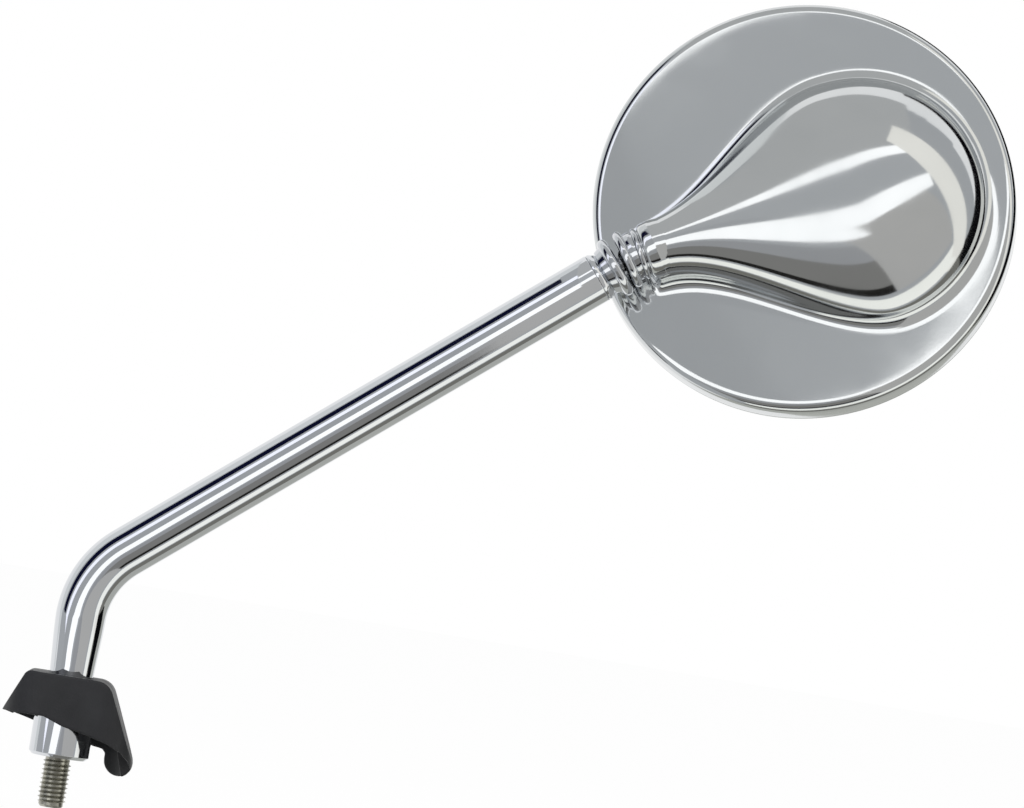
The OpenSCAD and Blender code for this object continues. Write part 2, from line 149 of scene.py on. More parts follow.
@dataclass(frozen=True)
class Finish:
    """A surface finish: one Principled shader with two scales of noise in its gloss and relief.

    Wavelengths and depths are in millimetres.
    """

    title: str
    colour: str
    second_colour: str
    metallic: float
    roughness: float
    roughness_swing: float
    wave: float
    wave_depth: float
    grain: float
    grain_depth: float
    coat: float = 0.0

    def noise(self, tree: NodeTree, wave: float, detail: float) -> NodeSocket:
        """Makes a noise pattern of one wavelength on Object coordinates.

        Args:
            tree: the material's node tree.
            wave: distance between the pattern's crests, in millimetres.
            detail: how many finer octaves it holds.

        Returns:
            The pattern's value socket.
        """
        place = add_node(tree, "ShaderNodeTexCoord").outputs["Object"]
        inputs = {"Vector": place, "Scale": 1 / (wave * MM), "Detail": detail, "Roughness": 0.5}
        return add_node(tree, "ShaderNodeTexNoise", inputs).outputs["Fac"]

    def build(self) -> Material:
        """Builds the material's nodes.

        Returns:
            The finished material.
        """
        material = bpy.data.materials.new(self.title)
        tree = blank(material)
        broad = self.noise(tree, self.wave, 2.0)
        fine = self.noise(tree, self.grain, 4.0)
        tints = {0: broad, 6: linear(self.colour), 7: linear(self.second_colour)}
        span = {
            "Value": broad,
            "From Min": 0.3,
            "From Max": 0.7,
            "To Min": max(0.0, self.roughness - self.roughness_swing),
            "To Max": self.roughness + self.roughness_swing,
        }
        swell = {"Strength": 1.0, "Distance": self.wave_depth * MM, "Height": broad}
        relief = {"Strength": 1.0, "Distance": self.grain_depth * MM, "Height": fine}
        relief["Normal"] = add_node(tree, "ShaderNodeBump", swell).outputs["Normal"]
        look = {
            "Base Color": add_node(tree, "ShaderNodeMix", tints, data_type="RGBA").outputs[2],
            "Metallic": self.metallic,
            "Roughness": add_node(tree, "ShaderNodeMapRange", span).outputs["Result"],
            "Normal": add_node(tree, "ShaderNodeBump", relief).outputs["Normal"],
            "Coat Weight": self.coat,
        }
        shader = add_node(tree, "ShaderNodeBsdfPrincipled", look)
        add_node(tree, "ShaderNodeOutputMaterial", {"Surface": shader.outputs["BSDF"]})
        return material


# Each row: title, two colours, metallic, roughness and its swing, wave, depth, grain, depth, coat
FINISHES: dict[Slot, Finish] = {
    # Bright nickel-chrome plate on drawn tube: a clear reflection with a faint draw ripple
    Slot.STEM: Finish(
        "chrome_plated_tube", "#DCDEE1", "#D3D6DA", 1.0, 0.05, 0.02, 22, 0.004, 0.9, 0.0006
    ),
    # Chrome plate on a deep pressing: the same mirror, with the slow waves of pressed sheet
    Slot.HEAD: Finish(
        "chrome_plated_pressing", "#D9DBDC", "#CFD2D3", 1.0, 0.085, 0.03, 16, 0.010, 1.1, 0.0012
    ),
    # Chrome plate on small turned rings: slightly softer, from polishing
    Slot.RINGS: Finish(
        "chrome_plated_rings", "#D6D8DB", "#C6C9CE", 1.0, 0.07, 0.03, 5, 0.004, 0.6, 0.001
    ),
    # Bright zinc plate: grey metal with a yellowish cast and a fine grain
    Slot.ZINC: Finish(
        "bright_zinc_plate", "#B9B7AB", "#98978F", 1.0, 0.30, 0.08, 3, 0.01, 0.35, 0.006
    ),
    # Turned steel under grease: darker and softer than plate
    Slot.STEEL: Finish("turned_steel", "#A3A5A8", "#8C8F93", 1.0, 0.28, 0.06, 4, 0.004, 0.4, 0.003),
    # Drawn spring wire: dark grey with a drawn grain
    Slot.SPRING: Finish(
        "drawn_spring_wire", "#7B7D80", "#6B6D70", 1.0, 0.35, 0.05, 3, 0.003, 0.3, 0.003
    ),
    # Black moulded nylon: a fine spark-eroded texture that breaks up the highlight
    Slot.COWL: Finish(
        "textured_black_nylon", "#1B1C20", "#141518", 0.0, 0.52, 0.08, 9, 0.03, 0.55, 0.03
    ),
    # Natural nylon: waxy off-white
    Slot.NYLON: Finish(
        "natural_nylon", "#E6E2D4", "#DBD6C6", 0.0, 0.42, 0.05, 6, 0.006, 0.5, 0.004
    ),
    # Moulded black rubber: matt with a dusty grey
    Slot.RUBBER: Finish(
        "moulded_black_rubber", "#202122", "#17181A", 0.0, 0.68, 0.08, 7, 0.02, 0.5, 0.015
    ),
    # Convex glass silvered behind: a near-perfect cool mirror
    Slot.GLASS: Finish(
        "silvered_convex_glass", "#DCE5E9", "#D8E2E7", 1.0, 0.012, 0.005, 60, 0.0004, 6, 0.0001, 1.0
    ),
    # Closed-cell foam: grey and open-grained
    Slot.FOAM: Finish("grey_foam", "#6A6C6F", "#5C5E61", 0.0, 0.9, 0.05, 4, 0.1, 0.8, 0.12),
}

# Pieces inside the joint and behind the glass that keep their CAD form
KEPT_NODES: dict[str, Slot] = {
    "ball_seat": Slot.NYLON,
    "pressure_cup": Slot.STEEL,
    "thrust_washer": Slot.ZINC,
    "spring_plug": Slot.ZINC,
    "backing_pad": Slot.FOAM,
}


class Palette:
    """Builds each finish once and dresses pieces with it."""

    def __init__(self) -> None:
        """Starts with no material built."""
        self.made: dict[Slot, Material] = {}

    def material(self, slot: Slot) -> Material:
        """Gives a slot's material, built at its first use."""
        if slot not in self.made:
            self.made[slot] = FINISHES[slot].build()
        return self.made[slot]

    def dress(self, piece: Object, slot: Slot) -> None:
        """Puts a slot's material on a piece, in place of what it had."""
        piece.data.materials.clear()
        piece.data.materials.append(self.material(slot))


def slanted(degrees: float) -> Vector:
    """Gives the direction in the plane of the stem that rises from X by an angle."""
    angle = math.radians(degrees)
    return Vector((math.cos(angle), 0, math.sin(angle)))


def quarter_turned(direction: Vector) -> Vector:
    """Turns a direction in the plane of the stem up by a right angle."""
    return Vector((-direction.z, 0, direction.x))


def placed(origin: Vector, axis: Vector, side: Vector) -> Matrix:
    """Makes a placing matrix from an origin and two directions.

    Args:
        origin: where the piece's own zero goes, in metres.
        axis: direction of the piece's own Z.
        side: direction of the piece's own X, about square to the axis.

    Returns:
        A matrix from the piece's millimetres to the frame's metres.
    """
    z = axis.normalized()
    y = z.cross(side).normalized()
    x = y.cross(z)
    turn = Matrix((x, y, z)).transposed().to_4x4()
    return Matrix.Translation(origin) @ turn @ Matrix.Scale(MM, 4)


def steps(count: int) -> list[float]:
    """Gives the even steps up to 1, without 0."""
    return [k / count for k in range(1, count + 1)]


def ease(x: float, start: float, end: float) -> float:
    """Gives a value that runs smoothly from 0 at start to 1 at end."""
    t = min(1.0, max(0.0, (x - start) / (end - start)))
    return t * t * (3 - 2 * t)


def curved(start: Vector, corner: Vector, end: Vector, t: float) -> Vector:
    """Gives the point at t on the curve from start to end that a corner draws to itself."""
    return start * (1 - t) ** 2 + corner * 2 * t * (1 - t) + end * t * t


def rounded(outline: Sequence[Point2], radius: float, closed: bool, count: int = 5) -> list[Point2]:
    """Rounds the corners of an outline with arcs.

    Args:
        outline: the corner points.
        radius: the largest rounding, made smaller on short sides.
        closed: whether the last point joins the first.
        count: points on each arc, less one.

    Returns:
        The outline with its corners rounded.
    """
    found: list[Point2] = []
    for i, here in enumerate(outline):
        if not closed and i in (0, len(outline) - 1):
            found.append(here)
            continue
        corner = Vector(here)
        before = Vector(outline[i - 1]) - corner
        after = Vector(outline[(i + 1) % len(outline)]) - corner
        half = before.angle(after) / 2
        reach = min(radius / math.tan(half), 0.45 * before.length, 0.45 * after.length)
        start, end = corner + before.normalized() * reach, corner + after.normalized() * reach
        for k in range(count + 1):
            spot = curved(start, corner, end, k / count)
            found.append((spot.x, spot.y))
    return found


def bead(
    ring_radius: float, height: float, radius: float, start: float, sweep: float, count: int
) -> list[Point2]:
    """Gives the points of a bead's round section.

    Args:
        ring_radius: distance of the section's centre from the axis.
        height: height of the section's centre.
        radius: radius of the section.
        start: angle of the first point, in degrees.
        sweep: how far the points go round, in degrees.
        count: points on the section, less one.

    Returns:
        Points as radius and height.
    """
    angles = [math.radians(start + sweep * k / count) for k in range(count + 1)]
    return [(ring_radius + radius * math.cos(a), height + radius * math.sin(a)) for a in angles]


def dished(outline: Sequence[Point2], sphere: float) -> list[Point2]:
    """Pushes the points of an outline that lie inside a sphere out to its face."""
    found = []
    for r, z in outline:
        share = sphere / math.hypot(r, z)
        found.append((r * share, z * share) if share > 1 else (r, z))
    return found


def spaced(path: Sequence[Vector], distances: Sequence[float]) -> list[Vector]:
    """Finds points at given distances along a path.

    Args:
        path: the path's points.
        distances: rising distances from the path's start.

    Returns:
        One point for each distance.
    """
    found, at, gone = [], 0, 0.0
    for distance in distances:
        while at < len(path) - 2 and gone + (path[at + 1] - path[at]).length < distance:
            gone += (path[at + 1] - path[at]).length
            at += 1
        step = max((path[at + 1] - path[at]).length, 1e-9)
        found.append(path[at].lerp(path[at + 1], min(1.0, max(0.0, (distance - gone) / step))))
    return found


def ring_faces(rings: int, segments: int, closed: bool) -> list[tuple[int, ...]]:
    """Gives the faces between rings of points that follow one another.

    Args:
        rings: how many rings there are.
        segments: points on each ring.
        closed: whether the last ring joins the first.

    Returns:
        Four corners for each face.
    """
    faces = []
    for i in range(rings if closed else rings - 1):
        low, high = i * segments, (i + 1) % rings * segments
        for k in range(segments):
            near = (k + 1) % segments
            faces.append((low + k, low + near, high + near, high + k))
    return faces


def shade(mesh: Mesh, crease: float) -> None:
    """Merges doubled points, points the faces outwards and shades the mesh smooth.

    Args:
        mesh: the closed mesh to finish.
        crease: edges sharper than this stay sharp, in degrees.
    """
    work = bmesh.new()
    work.from_mesh(mesh)
    bmesh.ops.remove_doubles(work, verts=work.verts, dist=WELD)
    bmesh.ops.dissolve_degenerate(work, dist=SLIVER, edges=work.edges)
    bmesh.ops.recalc_face_normals(work, faces=work.faces)
    for edge in work.edges:
        edge.smooth = not edge.is_manifold or edge.calc_face_angle(0) < math.radians(crease)
    for face in work.faces:
        face.smooth = True
    work.to_mesh(mesh)
    work.free()


def linked(name: str, data: ID) -> Object:
    """Makes an object of a mesh, lamp or camera and links it to the scene."""
    piece = bpy.data.objects.new(name, data)
    bpy.context.scene.collection.objects.link(piece)
    return piece


def applied(piece: Object) -> Mesh:
    """Gives an object's mesh with its modifiers applied, and removes the object."""
    seen = piece.evaluated_get(bpy.context.evaluated_depsgraph_get())
    mesh = bpy.data.meshes.new_from_object(seen)
    bpy.data.objects.remove(piece, do_unlink=True)
    return mesh


def baked(piece: Object, crease: float) -> Object:
    """Turns an object with modifiers into one with a plain mesh, under the same name.

    Args:
        piece: the object whose modifiers are applied; it is removed.
        crease: edges sharper than this stay sharp, in degrees.

    Returns:
        The object with the plain mesh.
    """
    name = piece.name
    mesh = applied(piece)
    mesh.name = name
    shade(mesh, crease)
    return linked(name, mesh)


def cut_and_joined(base: Object, added: Object, cutter: Object) -> Object:
    """Joins a closed piece to a base, then cuts another from it.

    Args:
        base: the closed piece to work on.
        added: closed piece joined to it; it is removed.
        cutter: closed piece cut from it; it is removed.

    Returns:
        The one closed piece that is left.
    """
    for operation, tool in (("UNION", added), ("DIFFERENCE", cutter)):
        step = base.modifiers.new(operation.lower(), "BOOLEAN")
        step.operation, step.solver, step.object = operation, "MANIFOLD", tool
    result = baked(base, 30)
    for tool in (added, cutter):
        bpy.data.objects.remove(tool, do_unlink=True)
    return result


def make_piece(
    name: str, verts: Sequence[Vector], faces: Sequence[Sequence[int]], place: Matrix, crease: float = 38
) -> Object:
    """Makes a smooth-shaded mesh object with its place in its mesh.

    Args:
        name: the piece's name.
        verts: points in the piece's own millimetres.
        faces: the corners of each face.
        place: matrix from those millimetres to the frame.
        crease: edges sharper than this angle stay sharp, in degrees.

    Returns:
        The new object, linked to the scene.
    """
    mesh = bpy.data.meshes.new(name)
    mesh.from_pydata([place @ v for v in verts], [], faces)
    shade(mesh, crease)
    return linked(name, mesh)


def turned(
    name: str, profile: Sequence[Point2], place: Matrix, closed: bool, segments: int = 128
) -> Object:
    """Turns a profile about the piece's own Z axis.

    Args:
        name: the piece's name.
        profile: points as radius and height.
        place: matrix from the piece's millimetres to the frame.
        closed: whether the profile's last point joins its first; else both lie on the axis.
        segments: faces round the axis.

    Returns:
        The turned piece.
    """
    angles = [2 * math.pi * k / segments for k in range(segments)]
    verts = [Vector((r * math.cos(a), r * math.sin(a), z)) for r, z in profile for a in angles]
    return make_piece(name, verts, ring_faces(len(profile), segments, closed), place)


def settle(palette: Palette, piece: Object, body: Body, slot: Slot, *nodes: str) -> None:
    """Dresses a finished piece, hides the CAD nodes that it stands for, and lets it ride on its body.

    Args:
        palette: shared finishes.
        piece: the piece, in place.
        body: the body that carries it.
        slot: its finish.
        nodes: CAD nodes that it stands for.
    """
    palette.dress(piece, slot)
    if nodes:
        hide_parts(*nodes)
    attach(piece, body.value)
    LOG.info("%s on %s: %d faces, %s", piece.name, body.value, len(piece.data.polygons), slot.value)


@dataclass(frozen=True)
class Layout:
    """Places and directions that every sub-assembly shares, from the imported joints."""

    ball: Vector
    neck: Vector
    arm_angle: float = 39.4
    head_twist: float = 15.6

    @property
    def arm(self) -> Vector:
        """Direction of the arm, towards the ball."""
        return slanted(self.arm_angle)

    @property
    def back(self) -> Vector:
        """Outward normal of the head's chrome back."""
        twist = math.radians(self.head_twist)
        return quarter_turned(self.neck) * math.sin(twist) - SIDEWAYS * math.cos(twist)

    def on_arm(self) -> Matrix:
        """Placing matrix of pieces turned about the arm, from the ball's centre."""
        return placed(self.ball, self.arm, SIDEWAYS)

    def on_neck(self) -> Matrix:
        """Placing matrix of pieces turned about the neck, from the ball's centre."""
        return placed(self.ball, self.neck, self.back)

    def between(self) -> Matrix:
        """Placing matrix of the swivel ring, half way between arm and neck."""
        return placed(self.ball, self.arm + self.neck, SIDEWAYS)

    def in_disc(self, reach: float, height: float) -> Matrix:
        """Placing matrix of the head, from the middle of its rim's plane.

        Args:
            reach: distance from the ball's centre to the middle of the head.
            height: height of the neck's axis above the rim's plane.

        Returns:
            A matrix whose X runs away from the neck and whose Z points out of the back.
        """
        middle = self.ball + self.neck * reach * MM - self.back * height * MM
        return placed(middle, self.back, self.neck)


@dataclass(frozen=True)
class Head:
    """The pressed head: shell with its teardrop bulge, neck, rim bezel, gasket and glass.

    The shell is a grid of spokes, which run from the bulge's spine over its foot to the rim.
    """

    radius: float = 59.0
    rim_past_ball: float = 10.4
    neck_height: float = 18.0
    flange_height: float = 7.5
    flange_crown: float = 1.4
    edge: float = 3.0
    sheet: float = 1.0
    neck_radius: float = 7.75
    neck_waist: float = 8.15
    neck_length: float = 7.0
    neck_start: float = 2.35
    neck_tail: float = 15.4
    neck_taper: float = 1.5
    neck_rounding: float = 3.0
    bore_depth: float = 29.0
    bulge_lead: float = 2.2
    bulge_radius: float = 35.5
    bulge_shift: float = 14.5
    waist_end: float = 4.0
    crest_rise: float = 0.8
    squareness: float = 0.3
    fan_drop: float = 5.0
    fan_end: float = 20.0
    end_wall_run: float = 2.0
    foot_fillet: float = 4.0
    end_spokes: int = 14
    flank_spokes: int = 80
    round_spokes: int = 52
    crowding: float = 1.25
    trace_points: int = 72
    wall_points: int = 30
    fillet_points: int = 7
    flange_points: int = 10
    edge_points: int = 10
    rim_segments: int = 256
    bezel_thickness: float = 1.2
    bezel_width: float = 4.2
    bezel_rounding: float = 0.55
    skirt_gap: float = 0.1
    skirt_thickness: float = 0.8
    skirt_height: float = 4.0
    gasket_wall: float = 1.2
    gasket_lip: float = 1.3
    gasket_back: float = 0.5
    gasket_gap: float = 0.1
    gasket_rounding: float = 0.15
    glass_thickness: float = 2.5
    glass_seat: float = 0.4
    glass_curve: float = 1200.0
    glass_chamfer: float = 0.3
    glass_face_chamfer: float = 0.2
    glass_points: int = 24

    @property
    def reach(self) -> float:
        """Distance from the ball's centre to the middle of the head."""
        return self.radius - self.rim_past_ball

    @property
    def flange_edge(self) -> float:
        """Radius where the flange turns down into the edge."""
        return self.radius - self.edge

    @property
    def neck_end(self) -> float:
        """Place of the neck's open end along the spine."""
        return self.neck_start - self.reach

    @property
    def bulge_from(self) -> float:
        """Place where the spine of the bulge starts."""
        return self.neck_end + self.bulge_lead

    @property
    def half_spokes(self) -> int:
        """Spokes in the upper half of the grid."""
        return self.end_spokes + self.flank_spokes + self.round_spokes

    @property
    def skirt_radius(self) -> float:
        """Outer radius of the bezel's skirt, inside the shell's edge."""
        return self.radius - self.sheet - self.skirt_gap

    @property
    def gasket_radius(self) -> float:
        """Outer radius of the gasket, inside the skirt."""
        return self.skirt_radius - self.skirt_thickness

    @property
    def glass_back(self) -> float:
        """Height of the glass's back above the rim's plane."""
        return self.glass_thickness + self.glass_seat

    def half_width(self, u: float) -> float:
        """Half of the bulge's width at a place along its spine."""
        widening = ease(u, self.bulge_from, self.bulge_shift)
        return self.neck_radius + (self.bulge_radius - self.neck_radius) * widening

    def on_flange(self, at: Vector, inset: float) -> Vector:
        """Gives the place on the flange above a point, on its outer or inner face."""
        out = min(1.0, math.hypot(at.x, at.y) / self.flange_edge)
        return Vector((at.x, at.y, self.flange_height + self.flange_crown * (1 - out**2) - inset))

    def dome_at(self, u: float, level: float, base: float, inset: float) -> float:
        """Height of the bulge from its waist at level 1 up to its crest at level 0.

        Args:
            u: place along the spine.
            level: part of the way from the spine to the foot.
            base: height of the foot.
            inset: 0 for the outer face, the sheet's thickness for the inner one.

        Returns:
            The height above the rim's plane.
        """
        waist = base + (self.neck_height - base) * (1 - ease(u, self.neck_end, self.waist_end))
        rise = self.crest_rise * ease(u, self.neck_end, 0)
        crest = self.neck_height + self.neck_radius + rise - inset
        power = 2 - self.squareness * ease(u, self.neck_end, self.fan_end)
        return waist + (crest - waist) * max(0.0, 1 - level * level) ** (1 / power)

    def spine_at(self, spoke: int) -> float:
        """Place along the spine of a spoke's root, closer together towards the neck."""
        t = min(1.0, max(0.0, (spoke - self.end_spokes) / self.flank_spokes))
        return self.bulge_from + (self.bulge_shift - self.bulge_from) * t**self.crowding

    def foot_at(self, spoke: int, inset: float) -> Vector:
        """Where a spoke crosses the bulge's outline, in the rim's plane."""
        if spoke < self.end_spokes:
            turn = math.pi - math.pi / 2 * spoke / self.end_spokes
            half = self.half_width(self.bulge_from) - inset
            run = self.end_wall_run - inset
            return Vector((self.bulge_from + run * math.cos(turn), half * math.sin(turn), 0))
        if spoke <= self.end_spokes + self.flank_spokes:
            u = self.spine_at(spoke)
            return Vector((u, self.half_width(u) - inset, 0))
        turn = math.pi / 2 * (self.half_spokes - spoke) / self.round_spokes
        reach = self.bulge_radius - inset
        return Vector((self.bulge_shift + reach * math.cos(turn), reach * math.sin(turn), 0))

    def spoke_line(self, spoke: int, inset: float) -> list[Vector]:
        """Gives one spoke's points, from the crest over the foot's fillet to the rim.

        Args:
            spoke: the spoke's number in the upper half.
            inset: 0 for the outer face, the sheet's thickness for the inner one.

        Returns:
            The same number of points for every spoke.
        """
        root = Vector((self.spine_at(spoke), 0, 0))
        foot = self.foot_at(spoke, inset)
        turn = math.pi * (1 - spoke / self.half_spokes)
        aim = Vector((math.cos(turn), math.sin(turn), 0))
        rim = aim * self.flange_edge
        wall = []
        for k in range(self.trace_points + 1):
            level = math.sin(math.pi / 2 * k / self.trace_points)
            at = root.lerp(foot, level)
            at.z = self.dome_at(at.x, level, self.on_flange(at, inset).z, inset)
            wall.append(at)
        base = self.on_flange(foot, inset)
        wall.append(base)
        length = sum((b - a).length for a, b in zip(wall, wall[1:])) - self.foot_fillet
        shares = [0.0] + steps(self.wall_points)
        upper = spaced(wall, [length * (1 - (1 - t) ** 1.3) for t in shares])
        toe = self.on_flange(foot + (rim - foot).normalized() * self.foot_fillet, inset)
        fillet = [curved(upper[-1], base, toe, t) for t in steps(self.fillet_points)]
        flange = [self.on_flange(toe.lerp(rim, t), inset) for t in steps(self.flange_points)]
        bend = self.edge - inset
        edge = []
        for t in steps(self.edge_points):
            angle = math.pi / 2 * t
            at = aim * (self.flange_edge + bend * math.sin(angle))
            at.z = self.flange_height - self.edge + bend * math.cos(angle)
            edge.append(at)
        lowest = aim * (self.radius - inset)
        return upper + fillet + flange + edge + [lowest.lerp(edge[-1], 0.12), lowest]

    def shell(self, place: Matrix) -> Object:
        """Makes the pressed shell with its neck and the bore in it.

        Args:
            place: matrix from the head's millimetres to the frame.

        Returns:
            One closed mesh.
        """
        half, around = self.half_spokes, 2 * self.half_spokes
        drops = [self.fan_drop] * (self.wall_points + 1 + self.fillet_points)
        drops += [self.fan_drop * (1 - t) for t in steps(self.flange_points)]
        drops += [0.0] * (self.edge_points + 2)
        rows = len(drops)
        verts: list[Vector] = []
        for inset in (0.0, self.sheet):
            lines = [self.spoke_line(i, inset) for i in range(half + 1)]
            for k in range(around):
                side = 1 if k <= half else -1
                for at, drop in zip(lines[k if side > 0 else around - k], drops):
                    down = drop * ease(at.x, self.neck_end, self.fan_end)
                    verts.append(Vector((at.x, side * at.y - down, at.z)))
        faces: list[tuple[int, ...]] = []
        for layer in (0, around):
            for k in range(around):
                here, near = (layer + k) * rows, (layer + (k + 1) % around) * rows
                for j in range(rows - 1):
                    quad = (here + j, here + j + 1, near + j + 1, near + j)
                    faces.append(quad[::-1] if layer else quad)
        for k in range(around):
            near = (k + 1) % around
            outer, outer_next = (k + 1) * rows - 1, (near + 1) * rows - 1
            inner, inner_next = (around + k + 1) * rows - 1, (around + near + 1) * rows - 1
            faces.append((outer, inner, inner_next, outer_next))
        sheet = make_piece("head_shell", verts, faces, place)
        end = Vector((self.neck_end, 0, self.neck_height))
        side = place @ Matrix.Translation(end) @ Matrix.Rotation(math.pi / 2, 4, "Y")
        outline = [(0.0, 0.0), (self.neck_radius, 0.0), (self.neck_waist, self.neck_length / 2)]
        outline += [(self.neck_radius, self.neck_length)]
        outline += [(self.neck_radius - self.neck_taper, self.neck_tail), (0.0, self.neck_tail)]
        neck = turned("neck", rounded(outline, self.neck_rounding, False), side, False, 192)
        inner = self.neck_radius - self.sheet
        hole = [(0, -1), (inner, -1), (inner, self.bore_depth), (0, self.bore_depth)]
        return cut_and_joined(sheet, neck, turned("bore", hole, side, False, 160))

    def bezel(self, place: Matrix) -> Object:
        """Makes the bright bezel, with the skirt that grips inside the shell's edge."""
        outline = [
            (self.radius - self.bezel_width, -self.bezel_thickness),
            (self.radius, -self.bezel_thickness),
            (self.radius, 0),
            (self.skirt_radius, 0),
            (self.skirt_radius, self.skirt_height),
            (self.gasket_radius, self.skirt_height),
            (self.gasket_radius, 0),
            (self.radius - self.bezel_width, 0),
        ]
        section = rounded(outline, self.bezel_rounding, True)
        return turned("rim_bezel_ring", section, place, True, self.rim_segments)

    def gasket(self, place: Matrix) -> Object:
        """Makes the rubber gasket that wraps the glass's edge."""
        glass = self.gasket_radius - self.gasket_wall
        lip, back = glass - self.gasket_lip, self.glass_back
        front = self.glass_seat - self.gasket_gap
        outline = [
            (lip, 0),
            (self.gasket_radius, 0),
            (self.gasket_radius, back + self.gasket_back),
            (lip, back + self.gasket_back),
            (lip, back),
            (glass, back),
            (glass, front),
            (lip, front),
        ]
        section = rounded(outline, self.gasket_rounding, True, 3)
        return turned("edge_gasket", section, place, True, self.rim_segments)

    def glass(self, place: Matrix) -> Object:
        """Makes the convex glass, ground to a small chamfer round its edge."""
        radius, seat, back = self.gasket_radius - self.gasket_wall, self.glass_seat, self.glass_back
        outline = [(0.0, back), (radius - self.glass_chamfer, back), (radius, back - self.glass_chamfer)]
        outline += [(radius, seat + self.glass_chamfer), (radius - self.glass_face_chamfer, seat)]
        rim_depth = math.sqrt(self.glass_curve**2 - radius**2)
        for t in steps(self.glass_points):
            x = radius * (1 - t)
            outline.append((x, seat - (math.sqrt(self.glass_curve**2 - x * x) - rim_depth)))
        return turned("convex_glass", outline, place, False, self.rim_segments)

    def build(self, layout: Layout, palette: Palette) -> None:
        """Builds and dresses every piece of the head.

        Args:
            layout: shared places.
            palette: shared finishes.
        """
        place = layout.in_disc(self.reach, self.neck_height)
        settle(palette, self.shell(place), Body.HEAD, Slot.HEAD, "back_shell")
        settle(palette, self.bezel(place), Body.HEAD, Slot.HEAD, "rim_bezel")
        settle(palette, self.gasket(place), Body.HEAD, Slot.RUBBER, "glass_gasket")
        settle(palette, self.glass(place), Body.HEAD, Slot.GLASS, "mirror_glass")


@dataclass(frozen=True)
class Coil:
    """A helix swept with a small profile: a thread's ridge or a spring's wire. Sizes in millimetres."""

    title: str
    turns: float
    radius: float
    height: float
    profile_radius: float
    profile_sides: int
    fade_turns: float

    def inputs(self, finish: Material) -> dict[str, tuple[str, object]]:
        """Gives the socket type and the value of each input of the coil's tree."""
        return {
            "Turns": ("NodeSocketFloat", self.turns),
            "Radius": ("NodeSocketFloat", self.radius),
            "Height": ("NodeSocketFloat", self.height),
            "Profile": ("NodeSocketFloat", self.profile_radius),
            "Sides": ("NodeSocketInt", self.profile_sides),
            "Fade": ("NodeSocketFloat", self.fade_turns),
            "Finish": ("NodeSocketMaterial", finish),
        }

    def tree(self, inputs: dict[str, tuple[str, object]]) -> NodeTree:
        """Builds the Geometry Nodes tree with its named inputs.

        Args:
            inputs: the type and value of each input.

        Returns:
            A tree that makes the coil upwards from the origin.
        """
        tree = bpy.data.node_groups.new("coil", "GeometryNodeTree")
        for name, (kind, _) in inputs.items():
            tree.interface.new_socket(name, in_out="INPUT", socket_type=kind)
        tree.interface.new_socket("Geometry", in_out="OUTPUT", socket_type="NodeSocketGeometry")
        given = add_node(tree, "NodeGroupInput").outputs
        winding = {
            "Resolution": 48,
            "Rotations": given["Turns"],
            "Start Radius": given["Radius"],
            "End Radius": given["Radius"],
            "Height": given["Height"],
        }
        helix = add_node(tree, "GeometryNodeCurveSpiral", winding).outputs["Curve"]
        # Run backwards, the helix has its normals outwards, so the profile's corner is the crest
        back = add_node(tree, "GeometryNodeReverseCurve", {"Curve": helix}).outputs["Curve"]
        upright = add_node(tree, "GeometryNodeSetCurveNormal", {"Curve": back}, mode="Z_UP")
        along = add_node(tree, "GeometryNodeSplineParameter").outputs["Factor"]
        nearest = maths(tree, "MINIMUM", along, maths(tree, "SUBTRACT", 1.0, along))
        fade = {
            "Value": maths(tree, "MULTIPLY", nearest, given["Turns"]),
            "From Min": 0.0,
            "From Max": given["Fade"],
            "To Min": 0.1,
            "To Max": 1.0,
        }
        faded = add_node(tree, "ShaderNodeMapRange", fade, interpolation_type="SMOOTHSTEP")
        ring = {"Resolution": given["Sides"], "Radius": given["Profile"]}
        profile = add_node(tree, "GeometryNodeCurvePrimitiveCircle", ring, mode="RADIUS")
        sweep = {
            "Curve": upright.outputs["Curve"],
            "Profile Curve": profile.outputs["Curve"],
            "Scale": faded.outputs["Result"],
            "Fill Caps": True,
        }
        swept = add_node(tree, "GeometryNodeCurveToMesh", sweep).outputs["Mesh"]
        real = add_node(tree, "GeometryNodeRealizeInstances", {"Geometry": swept})
        finish = {"Geometry": real.outputs["Geometry"], "Material": given["Finish"]}
        dressed = add_node(tree, "GeometryNodeSetMaterial", finish)
        add_node(tree, "NodeGroupOutput", {"Geometry": dressed.outputs["Geometry"]})
        return tree

    def make(self, place: Matrix, finish: Material, crease: float) -> Object:
        """Makes the coil as a plain mesh in its place.

        Args:
            place: matrix from the coil's millimetres to the frame.
            finish: its material.
            crease: edges sharper than this stay sharp, in degrees.

        Returns:
            The coil.
        """
        piece = linked(self.title, bpy.data.meshes.new(self.title))
        step = piece.modifiers.new("coil", "NODES")
        inputs = self.inputs(finish)
        step.node_group = self.tree(inputs)
        for socket in step.node_group.interface.items_tree:
            if socket.in_out == "INPUT":
                step[socket.identifier] = inputs[socket.name][1]
        bpy.context.view_layer.update()
        mesh = applied(piece)
        # The node winds left-handed: mirrored, it is the usual right-handed coil
        mesh.transform(place @ Matrix.Diagonal((1, -1, 1, 1)))
        shade(mesh, crease)
        return linked(self.title, mesh)


